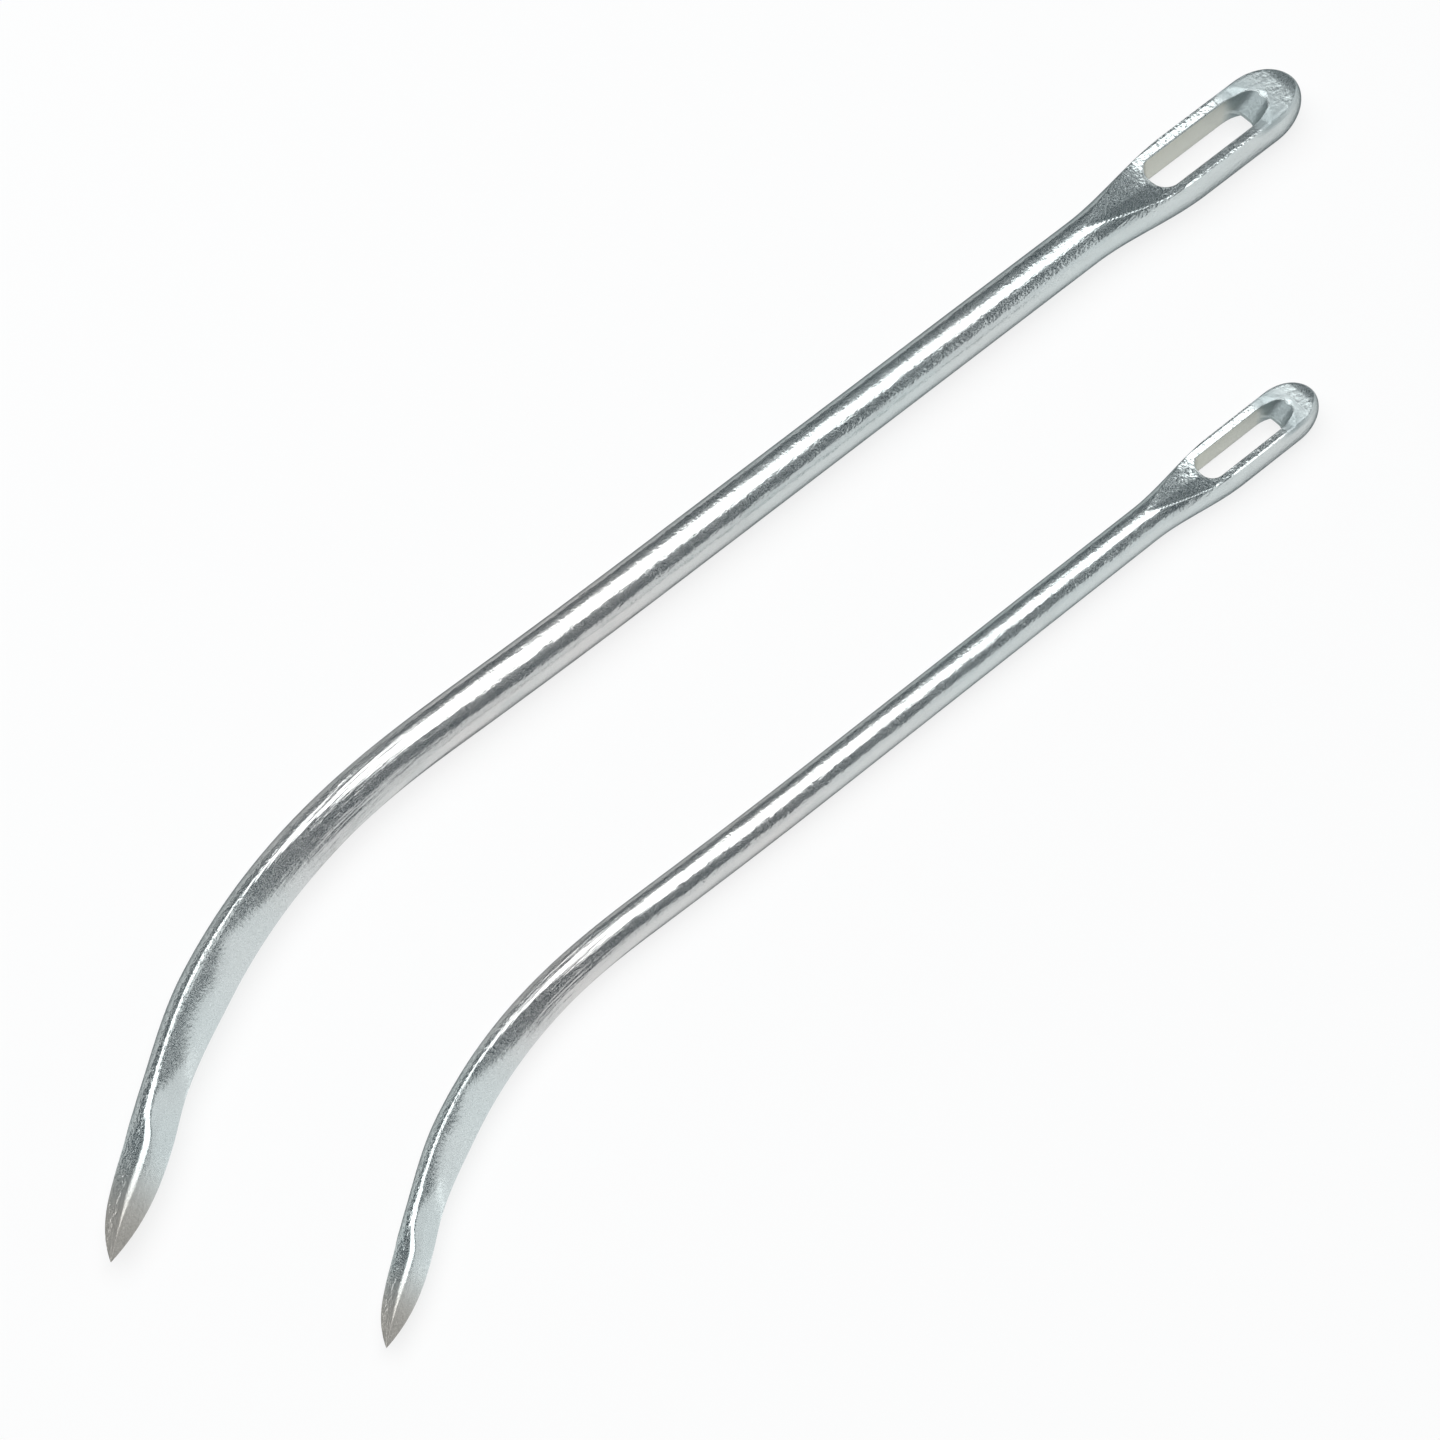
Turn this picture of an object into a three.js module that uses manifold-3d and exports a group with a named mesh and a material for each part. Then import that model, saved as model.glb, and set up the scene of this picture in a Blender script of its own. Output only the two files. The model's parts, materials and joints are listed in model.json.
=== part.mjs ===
// A pair of sack needles, a large and a small one, for closing jute sacks with twine.
// Each is one length of round steel wire. One end is pressed flat and pierced with a long eye.
// The other end is bent sideways and ground: two long bevels give the inside of the bend an edge,
// and two short bevels on the outside finish the four-sided lance point.
//
// Millimetres, +Z up. Both needles lie on Z = 0, with the shank along +X towards the eye and the
// bend towards -Y. The origin is the middle of the pair's outline, on the surface they lie on.
// Along each needle, u is the distance from the tip, measured along the wire's axis.
//
// A needle is lofted in three stretches that meet on flat sections of the plain round wire:
// the blade, the shank and the eye.

import * as THREE from 'three';
import Module from 'manifold-3d';

const { clamp, lerp, smoothstep, degToRad } = THREE.MathUtils;
const HALF_TURN = Math.PI;

const LARGE = {
  wireLength: 127, // from the tip to the end of the head
  wireDiameter: 3.5,
  bendAngle: degToRad(37.9),
  bendLength: 47, // wire over which the bend eases in and out
  counterBend: degToRad(1.15), // slight bow the other way, behind the bend
  counterLength: 18, // wire over which it comes, and goes again
  pointStraight: 3, // wire between the tip and the bend
  pointLength: 9.5, // from the tip to the widest place of the lance
  pointLean: degToRad(6), // how far the lance turns back, outwards, by its tip
  pointWidth: 3.24,
  pointThickness: 2,
  waistLength: 3.1, // from the widest place to the waist behind it
  waistWidth: 3.06,
  taperLength: 8.4, // from the waist to the full diameter of the wire
  bladeSpread: 0.22, // extra width where the wire is pressed to bevel the inside of the bend
  outerBevelFade: 3, // from the widest place to where the outer bevels have run out
  innerBevelLength: 25, // from the tip to where the inner bevels start to run out
  innerBevelFade: 24, // from there to where they have run out
  neckLength: 6.8, // from the round wire to the start of the eye, where the head is flat
  spreadLength: 10, // from the round wire to the full width of the head
  headWidth: 5.2,
  headThickness: 2.75,
  headCrown: 5.4, // height of the oval whose flanks round the head's sides
  headEndLength: 3.8, // rounding of the head's end, seen from above
  domeLength: 1.65, // rounding of the head's end, seen from the side
  gutterDepth: 0.35, // hollow along the middle of both faces, which leads the twine into the eye
  gutterRunOut: 1.2, // from the end of the eye to where the hollow has run out
  eyeLength: 9.5,
  eyeWidth: 2.8,
  eyeEndWall: 4.7, // metal between the eye and the end of the head
  eyeCornerRadius: 1.1,
  eyeEdge: 0.12, // how far the mouths of the eye flare sideways
  eyeScoop: 1.3, // how far they lean back towards the end of the head
};

const SMALL = {
  wireLength: 99,
  wireDiameter: 2.7,
  bendAngle: degToRad(38),
  bendLength: 36.5,
  counterBend: degToRad(1.3),
  counterLength: 15,
  pointStraight: 2.4,
  pointLength: 7.4,
  pointLean: degToRad(5.4),
  pointWidth: 2.54,
  pointThickness: 1.56,
  waistLength: 2.5,
  waistWidth: 2.4,
  taperLength: 6.5,
  bladeSpread: 0.2,
  outerBevelFade: 2.4,
  innerBevelLength: 19.5,
  innerBevelFade: 18.7,
  neckLength: 5.35,
  spreadLength: 7.8,
  headWidth: 4.06,
  headThickness: 2.15,
  headCrown: 4.2,
  headEndLength: 2.95,
  domeLength: 1.29,
  gutterDepth: 0.27,
  gutterRunOut: 0.94,
  eyeLength: 7.3,
  eyeWidth: 2.18,
  eyeEndWall: 3.55,
  eyeCornerRadius: 0.86,
  eyeEdge: 0.09,
  eyeScoop: 1,
};

// The small needle's head ends this far behind the large one's, and its shank lies this far aside.
const SMALL_BEHIND = 18.4;
const SMALL_BESIDE = 19.8;

// Slopes of the inner and the outer bevels from the plane of the bend. Both turn to the last one
// as they run out into the round wire.
const INNER_SLOPE = degToRad(32);
const OUTER_SLOPE = degToRad(40);
const RUN_OUT_SLOPE = degToRad(36);
const RUN_OUT_NORMAL = HALF_TURN / 2 - RUN_OUT_SLOPE;
// Power of the lance's outline: 1 is a straight taper, more is fuller.
const POINT_FULLNESS = 2.7;
// Slope of the gutter's two sides from the faces of the head.
const GUTTER_SLOPE = degToRad(10);
const GUTTER_NORMAL = HALF_TURN / 2 + GUTTER_SLOPE;
// Share of the head's thickness that its dome takes away at the very end.
const DOME_DROP = 0.35;

// Step along the wire's axis when its bend is followed.
const AXIS_STRIDE = 0.05;
// Sections along each part of a needle's length.
const SECTIONS = { point: 9, taper: 14, bend: 18, shank: 12, neck: 9, spread: 4, eye: 3, end: 10 };
// Steps round a section: over each flank, over each bevel, and over the top between the bevels.
const FLANK_STEPS = 3;
const BEVEL_STEPS = 2;
const TOP_STEPS = 4;
// A bevel's corners keep this far from its middle where it has run out, and from a sharp edge.
const LEAST_SPREAD = degToRad(12);
// Steps round each corner of the eye.
const EYE_CORNER_STEPS = 5;
// The eye's walls stand upright up to this share of half the head's thickness, then they flare.
const UPRIGHT_SHARE = 0.12;
// Turns of the flare at which the punch that pierces the eye is sectioned.
const FLARE_TURNS = [0, 25, 50, 75].map(degToRad);
// How far the punch runs past both faces of the head.
const PUNCH_OVERRUN = 0.3;

const waistPlace = (needle) => needle.pointLength + needle.waistLength;
const taperEnd = (needle) => waistPlace(needle) + needle.taperLength;
const bendEnd = (needle) => needle.pointStraight + needle.bendLength;
const innerBevelEnd = (needle) => needle.innerBevelLength + needle.innerBevelFade;
const eyeStart = (needle) => needle.wireLength - needle.eyeEndWall - needle.eyeLength;
const eyeEnd = (needle) => needle.wireLength - needle.eyeEndWall;
const headStart = (needle) => eyeStart(needle) - needle.neckLength;
const spreadEnd = (needle) => headStart(needle) + needle.spreadLength;
const domeStart = (needle) => needle.wireLength - needle.domeLength;
const roundingStart = (needle) => needle.wireLength - needle.headEndLength;

// How far the round wire has become the flat head at u, from 0 to 1.
function pressing(needle, u) {
  return smoothstep(u, headStart(needle), eyeStart(needle));
}

// Height of the head's faces over the axis, and of the bottom of the gutter in them.
function facesAt(needle, u) {
  const past = Math.max(0, (u - domeStart(needle)) / needle.domeLength);
  const dome = 1 - DOME_DROP * past ** 2;
  const flat = (lerp(needle.wireDiameter, needle.headThickness, pressing(needle, u)) / 2) * dome;
  const deepening = clamp((u - headStart(needle)) / needle.neckLength, 0, 1);
  const runningOut = clamp((u - eyeEnd(needle)) / needle.gutterRunOut, 0, 1);
  return { flat, gutter: flat - needle.gutterDepth * Math.min(deepening, 1 - runningOut) };
}

// Half the width and half the thickness of the oval stock, before flats and bevels cut it.
function stockAt(needle, u) {
  if (u > headStart(needle)) {
    const past = Math.max(0, (u - roundingStart(needle)) / needle.headEndLength);
    const rounding = Math.sqrt(1 - past ** 2) / 2;
    const spread = smoothstep(u, headStart(needle), spreadEnd(needle));
    return {
      width: lerp(needle.wireDiameter, needle.headWidth, spread) * rounding,
      thickness: lerp(needle.wireDiameter, needle.headCrown, spread) * rounding,
    };
  }
  if (u < needle.pointLength) {
    const swell = (1 - (1 - u / needle.pointLength) ** POINT_FULLNESS) / 2;
    return { width: needle.pointWidth * swell, thickness: needle.pointThickness * swell };
  }
  const toWaist = smoothstep(u, needle.pointLength, waistPlace(needle));
  const toWire = smoothstep(u, waistPlace(needle), taperEnd(needle));
  const thickening = smoothstep(u, needle.pointLength, taperEnd(needle));
  const blade = lerp(needle.pointWidth, needle.waistWidth, toWaist);
  const leaving = smoothstep(u, needle.innerBevelLength, innerBevelEnd(needle));
  const wire = needle.wireDiameter + needle.bladeSpread * (1 - leaving);
  return {
    width: lerp(blade, wire, toWire) / 2,
    thickness: lerp(needle.pointThickness, needle.wireDiameter, thickening) / 2,
  };
}

// A bevel's slope, its distance from the wire's axis, and the distance at which it has run out.
function bevelAt(stock, fullSlope, fade) {
  const slope = lerp(fullSlope, RUN_OUT_SLOPE, fade);
  const sharp = stock.width * Math.sin(slope);
  const blunt = Math.hypot(sharp, stock.thickness * Math.cos(slope));
  return { slope, blunt, distance: lerp(sharp, blunt, fade) };
}

// The section at u: the stock, and what cuts it.
function sectionAt(needle, u) {
  const stock = stockAt(needle, u);
  const innerFade = smoothstep(u, needle.innerBevelLength, innerBevelEnd(needle));
  const outerFade = smoothstep(u, needle.pointLength, needle.pointLength + needle.outerBevelFade);
  return {
    stock,
    inner: bevelAt(stock, INNER_SLOPE, innerFade),
    outer: bevelAt(stock, OUTER_SLOPE, outerFade),
    ...facesAt(needle, u),
    isHead: u > headStart(needle),
  };
}

// Distance from the axis to a cut that faces the given direction, seen at the given angle.
function cutRadius(distance, angle, facing) {
  const towards = Math.cos(angle - facing);
  return towards > 0 ? distance / towards : Infinity;
}

// Distance from the axis to the surface, at an angle from the inside of the bend (0) over the
// top (a quarter turn) to its outside (half a turn).
function surfaceRadius({ stock, inner, outer, flat, gutter, isHead }, angle) {
  const oval = 1 / Math.hypot(Math.cos(angle) / stock.width, Math.sin(angle) / stock.thickness);
  if (isHead) {
    const gutterDistance = gutter * Math.cos(GUTTER_SLOPE);
    const gutterCut = cutRadius(gutterDistance, Math.min(angle, HALF_TURN - angle), GUTTER_NORMAL);
    return Math.min(oval, cutRadius(flat, angle, HALF_TURN / 2), gutterCut);
  }
  const innerCut = cutRadius(inner.distance, angle, HALF_TURN / 2 - inner.slope);
  const outerCut = cutRadius(outer.distance, angle, HALF_TURN / 2 + outer.slope);
  return Math.min(oval, innerCut, outerCut);
}

// Angles at which a bevel meets the stock, from its own side, so that edges fall on vertices.
function bevelCorners(stock, { slope, blunt, distance }) {
  const sine = stock.thickness * Math.cos(slope);
  const cosine = stock.width * Math.sin(slope);
  const middle = Math.atan2(sine, cosine);
  const spread = Math.max(Math.acos(Math.min(1, distance / blunt)), LEAST_SPREAD);
  const polar = (t) => Math.atan2(stock.thickness * Math.sin(t), stock.width * Math.cos(t));
  return [Math.max(polar(middle - spread), LEAST_SPREAD), polar(middle + spread)];
}

// The same for the flat of the head. They start where the corners of a run-out bevel are.
function flatCorners({ stock, flat }) {
  const reach = stock.width * Math.sqrt(Math.max(0, 1 - (flat / stock.thickness) ** 2));
  const farthest = RUN_OUT_NORMAL + LEAST_SPREAD;
  const nearest = RUN_OUT_NORMAL - LEAST_SPREAD;
  const far = Math.min(Math.atan2(flat, reach), farthest);
  return [(far * nearest) / farthest, far];
}

// The same across a face of the head: its edge, the edge of the gutter and the gutter's bottom.
function faceAngles({ flat, gutter }, corner) {
  const gutterEdge = Math.atan2(flat * Math.tan(GUTTER_SLOPE), flat - gutter);
  const halfway = (corner + HALF_TURN / 2) / 2;
  const edge = clamp(gutterEdge, corner, halfway);
  return [corner, edge, HALF_TURN / 2, HALF_TURN - edge];
}

function sectionAngles(section) {
  const { stock, isHead } = section;
  const inner = isHead ? flatCorners(section) : bevelCorners(stock, section.inner);
  const outer = isHead ? inner : bevelCorners(stock, section.outer);
  const [first, second] = inner;
  const [last, lastButOne] = outer.map((corner) => HALF_TURN - corner);
  const top = isHead ? faceAngles(section, second) : evenly(second, lastButOne, TOP_STEPS);
  return [
    ...evenly(0, first, FLANK_STEPS),
    ...evenly(first, second, BEVEL_STEPS),
    ...top,
    ...evenly(lastButOne, last, BEVEL_STEPS),
    ...evenly(last, HALF_TURN, FLANK_STEPS),
    HALF_TURN,
  ];
}

// One ring of points round the axis, its lower half the mirror image of its upper half.
function sectionRing(needle, u) {
  const axis = axisAt(needle, u);
  const section = sectionAt(needle, u);
  const inward = new THREE.Vector3(Math.sin(axis.heading), -Math.cos(axis.heading), 0);
  const upper = sectionAngles(section).map((angle) => {
    const radius = surfaceRadius(section, angle);
    return [radius * Math.cos(angle), radius * Math.sin(angle)];
  });
  const lower = upper.slice(1, -1).reverse().map(([across, up]) => [across, -up]);
  return [...upper, ...lower].map(([across, up]) =>
    axis.place.clone().addScaledVector(inward, across).add(new THREE.Vector3(0, 0, up)),
  );
}

function headingAt(needle, u) {
  const end = bendEnd(needle);
  const bend = needle.bendAngle * (1 - smoothstep(u, needle.pointStraight, end));
  const coming = smoothstep(u, end - needle.counterLength, end);
  const going = smoothstep(u, end, end + needle.counterLength);
  const lean = needle.pointLean * Math.max(0, 1 - u / needle.pointLength);
  return bend - needle.counterBend * coming * (1 - going) - lean;
}

// Place and heading of the wire's axis. The shank lies along X and the head ends at X = 0.
function axisAt(needle, u) {
  const strides = Math.max(1, Math.ceil((needle.wireLength - u) / AXIS_STRIDE));
  const step = (needle.wireLength - u) / strides;
  const place = new THREE.Vector3(0, 0, needle.wireDiameter / 2);
  for (let i = 0; i < strides; i += 1) {
    const heading = headingAt(needle, u + (i + 0.5) * step);
    place.x -= Math.cos(heading) * step;
    place.y -= Math.sin(heading) * step;
  }
  return { place, heading: headingAt(needle, u) };
}

// Values from the first one on, in even steps, without the last one.
function evenly(from, to, count) {
  return Array.from({ length: count }, (_, i) => lerp(from, to, i / count));
}

// Distances from the tip at which each stretch is sectioned, close together where its form changes.
function stationsOf(needle) {
  const bladeEnd = Math.max(bendEnd(needle), innerBevelEnd(needle));
  const pointShares = evenly(0, HALF_TURN / 2, SECTIONS.point).map((turn) => 1 - Math.cos(turn));
  const endShares = evenly(0, HALF_TURN / 2, SECTIONS.end).map((turn) => Math.sin(turn));
  return {
    blade: [
      ...pointShares.map((share) => share * needle.pointLength),
      ...evenly(needle.pointLength, taperEnd(needle), SECTIONS.taper),
      ...evenly(taperEnd(needle), bladeEnd, SECTIONS.bend),
      bladeEnd,
    ],
    shank: [...evenly(bladeEnd, headStart(needle), SECTIONS.shank), headStart(needle)],
    eye: [
      ...evenly(headStart(needle), eyeStart(needle), SECTIONS.neck),
      ...evenly(eyeStart(needle), spreadEnd(needle), SECTIONS.spread),
      ...evenly(spreadEnd(needle), eyeEnd(needle), SECTIONS.eye),
      eyeEnd(needle),
      ...endShares.map((share) => roundingStart(needle) + share * needle.headEndLength),
      needle.wireLength,
    ],
  };
}

// A closed skin over rings of equal length, drawn to one point at each end.
function loft(startPoint, rings, endPoint) {
  const count = rings[0].length;
  const points = [startPoint, ...rings.flat(), endPoint];
  const last = points.length - 1;
  const at = (ring, i) => 1 + ring * count + (i % count);
  const triangles = [];
  for (let i = 0; i < count; i += 1) {
    triangles.push(0, at(0, i), at(0, i + 1));
    triangles.push(last, at(rings.length - 1, i + 1), at(rings.length - 1, i));
    for (let ring = 0; ring < rings.length - 1; ring += 1) {
      triangles.push(at(ring, i), at(ring + 1, i), at(ring + 1, i + 1));
      triangles.push(at(ring, i), at(ring + 1, i + 1), at(ring, i + 1));
    }
  }
  const geometry = new THREE.BufferGeometry().setFromPoints(points);
  geometry.setIndex(triangles);
  return geometry;
}

// The wire between the first and the last station, closed flat there or at the needle's own ends.
function stretchOf(needle, stations) {
  const inside = stations.filter((u) => u > 0 && u < needle.wireLength);
  const rings = inside.map((u) => sectionRing(needle, u));
  const first = axisAt(needle, stations[0]).place;
  const last = axisAt(needle, stations[stations.length - 1]).place;
  return loft(first, rings, last);
}

// Middle of the eye, on the axis of the wire.
function eyeMiddle(needle) {
  return new THREE.Vector3(-needle.eyeEndWall - needle.eyeLength / 2, 0, needle.wireDiameter / 2);
}

// Outline of the eye at a height above its middle, flared by a share of the eye's edge and scoop.
function eyeOutline(needle, flare, up) {
  const straightX = needle.eyeLength / 2 - needle.eyeCornerRadius;
  const straightY = needle.eyeWidth / 2 - needle.eyeCornerRadius;
  const wide = needle.eyeCornerRadius + needle.eyeEdge * flare;
  const long = needle.eyeCornerRadius + needle.eyeScoop * flare;
  const outline = new THREE.Shape();
  outline.absellipse(straightX, straightY, long, wide, 0, HALF_TURN / 2);
  outline.absellipse(-straightX, straightY, wide, wide, HALF_TURN / 2, HALF_TURN);
  outline.absellipse(-straightX, -straightY, wide, wide, HALF_TURN, HALF_TURN * 1.5);
  outline.absellipse(straightX, -straightY, long, wide, HALF_TURN * 1.5, HALF_TURN * 2);
  const corners = outline.extractPoints(EYE_CORNER_STEPS).shape;
  return corners.map((p) => new THREE.Vector3(p.x, p.y, up).add(eyeMiddle(needle)));
}

// Flare and height of the punch that pierces the eye, from half its thickness up.
function punchLevels(needle) {
  const face = needle.headThickness / 2;
  const upright = face * UPRIGHT_SHARE;
  const lip = face - upright;
  const levels = FLARE_TURNS.map((turn) => ({
    flare: 1 - Math.cos(turn),
    up: upright + lip * Math.sin(turn),
  }));
  const turn = FLARE_TURNS[FLARE_TURNS.length - 1];
  const { flare, up } = levels[levels.length - 1];
  const rise = face + PUNCH_OVERRUN - up;
  const widening = (rise * Math.sin(turn)) / (lip * Math.cos(turn));
  return [...levels, { flare: flare + widening, up: up + rise }];
}

// The punch, from the top down, flared at both mouths.
function eyePunch(needle) {
  const levels = punchLevels(needle);
  const upper = [...levels].reverse().map(({ flare, up }) => eyeOutline(needle, flare, up));
  const lower = levels.map(({ flare, up }) => eyeOutline(needle, flare, -up));
  const reach = levels[levels.length - 1].up;
  const top = eyeMiddle(needle).add(new THREE.Vector3(0, 0, reach));
  const bottom = eyeMiddle(needle).add(new THREE.Vector3(0, 0, -reach));
  return loft(top, [...upper, ...lower], bottom);
}

const wasm = await Module();
wasm.setup();

function solidOf(geometry) {
  const vertProperties = new Float32Array(geometry.attributes.position.array);
  const triVerts = new Uint32Array(geometry.index.array);
  return new wasm.Manifold(new wasm.Mesh({ numProp: 3, vertProperties, triVerts }));
}

function geometryOf(solid) {
  const mesh = solid.getMesh();
  const geometry = new THREE.BufferGeometry();
  geometry.setAttribute('position', new THREE.BufferAttribute(mesh.vertProperties, 3));
  geometry.setIndex(new THREE.BufferAttribute(mesh.triVerts, 1));
  geometry.computeVertexNormals();
  return geometry;
}

const platedSteel = new THREE.MeshStandardMaterial({
  color: 0xb4bcc0,
  roughness: 0.22,
  metalness: 1,
});

function namedMesh(name, geometry) {
  const mesh = new THREE.Mesh(geometry, platedSteel);
  mesh.name = name;
  return mesh;
}

function needleGroup(size, needle) {
  const stations = stationsOf(needle);
  const head = solidOf(stretchOf(needle, stations.eye));
  const pierced = head.subtract(solidOf(eyePunch(needle)));
  const group = new THREE.Group();
  group.add(
    namedMesh(`${size}_blade`, stretchOf(needle, stations.blade)),
    namedMesh(`${size}_shank`, stretchOf(needle, stations.shank)),
    namedMesh(`${size}_eye`, geometryOf(pierced)),
  );
  return group;
}

const large = needleGroup('large', LARGE);
const small = needleGroup('small', SMALL);
small.position.set(-SMALL_BEHIND, -SMALL_BESIDE, 0);

const needles = new THREE.Group();
needles.add(large, small);

const outline = new THREE.Box3().setFromObject(needles);
const centre = outline.getCenter(new THREE.Vector3());
needles.position.set(-centre.x, -centre.y, -outline.min.z);

const pair = new THREE.Group();
pair.add(needles);

export default pair;
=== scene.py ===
"""Looks of a pair of sack needles: polished, plated steel wire on a white table.

Each needle is drawn by one Geometry Nodes tree that follows the wire from the tip to the head.
Its sections follow the rule of the solid model, with soft edges, slightly round bevels, a fuller
lance and a gutter that reaches the shoulders of the head.
Metres, +Z up, in the frame of the solid model.
"""

import json
import math
from types import SimpleNamespace

import bpy
from bpy.props import EnumProperty, FloatProperty, FloatVectorProperty, IntProperty, PointerProperty
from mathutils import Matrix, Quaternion, Vector


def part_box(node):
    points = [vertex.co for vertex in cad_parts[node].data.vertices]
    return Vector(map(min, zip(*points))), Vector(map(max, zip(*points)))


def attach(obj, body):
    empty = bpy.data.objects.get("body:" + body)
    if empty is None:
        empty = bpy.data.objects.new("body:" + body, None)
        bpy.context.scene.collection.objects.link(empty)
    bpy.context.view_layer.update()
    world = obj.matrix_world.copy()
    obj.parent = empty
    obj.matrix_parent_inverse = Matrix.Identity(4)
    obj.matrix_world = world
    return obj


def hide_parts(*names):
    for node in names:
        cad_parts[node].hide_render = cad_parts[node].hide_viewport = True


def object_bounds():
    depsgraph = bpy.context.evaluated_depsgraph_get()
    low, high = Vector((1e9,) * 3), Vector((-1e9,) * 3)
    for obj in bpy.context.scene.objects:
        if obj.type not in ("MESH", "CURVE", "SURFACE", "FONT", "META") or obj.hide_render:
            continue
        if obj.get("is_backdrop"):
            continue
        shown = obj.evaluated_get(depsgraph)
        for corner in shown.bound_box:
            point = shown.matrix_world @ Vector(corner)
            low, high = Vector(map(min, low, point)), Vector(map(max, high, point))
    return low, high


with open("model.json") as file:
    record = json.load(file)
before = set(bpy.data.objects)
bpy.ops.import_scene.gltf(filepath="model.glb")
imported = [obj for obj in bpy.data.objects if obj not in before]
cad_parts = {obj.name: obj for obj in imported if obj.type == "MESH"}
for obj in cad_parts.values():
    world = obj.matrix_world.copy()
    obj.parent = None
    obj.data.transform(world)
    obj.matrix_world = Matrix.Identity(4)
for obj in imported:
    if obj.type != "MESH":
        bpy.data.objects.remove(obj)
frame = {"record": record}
CAD_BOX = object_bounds()

bl_info = {
    "name": "Sack needles",
    "version": (1, 0, 0),
    "blender": (4, 5, 0),
    "location": "View3D > Sidebar > Needles",
    "description": "Draws a large and a small sack needle and the table they lie on",
    "category": "Add Mesh",
}

MM = 0.001
HALF_TURN = math.pi
WHITE = (1.0, 1.0, 1.0, 1.0)
NEEDLES = ("large", "small")
TREE_NAME = "Sack needle"
STEEL_NAME = "bright_plated_wire"
# Places of the two colours among a Mix node's inputs, and of the mixed one among its outputs.
MIX_FIRST, MIX_SECOND, MIX_RESULT = 6, 7, 2

# Slopes of the inner and the outer bevels from the plane of the bend. Both turn to the last one
# and get rounder as they run out into the wire.
INNER_SLOPE = math.radians(31.5)
OUTER_SLOPE = math.radians(30)
RUN_OUT_SLOPE = math.radians(44)
# Power of the lance's outline: 1 is a straight taper, more is fuller.
POINT_FULLNESS = 3.2
# Shares of the lance, from the tip, between which its ridge gets soft.
RIDGE_SOFTENS = (0.1, 0.6)
# Slope of the gutter's two sides from the faces of the head, and the rounding of its bottom.
GUTTER_SLOPE = math.radians(9)
GUTTER_ROUNDING = math.radians(20)
# Share of the head's thickness that its dome takes away at the very end.
DOME_DROP = 0.35
# A flat is followed out to where it is seen nearly edge-on, at this cosine.
NEARLY_SQUARE = 0.02
# The eye's walls stand upright up to this share of half the head's thickness, then they flare.
UPRIGHT_SHARE = 0.12
# Turn of the flare at the faces of the head, its steps, and how far the punch runs past them.
FLARE_TURN = math.radians(75)
FLARE_STEPS = 12
PUNCH_OVERRUN = 0.3 * MM
# Shoulders of the head, at which the points round the wire crowd.
SHOULDERS = 4
# Points closer than these are joined: at the two ends of the wire, and round the punched eye.
END_GAP = 0.0001 * MM
PUNCH_GAP = 0.002 * MM
# Edges that turn less than this are shaded as one surface.
SOFT_TURN = math.radians(35)

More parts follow.
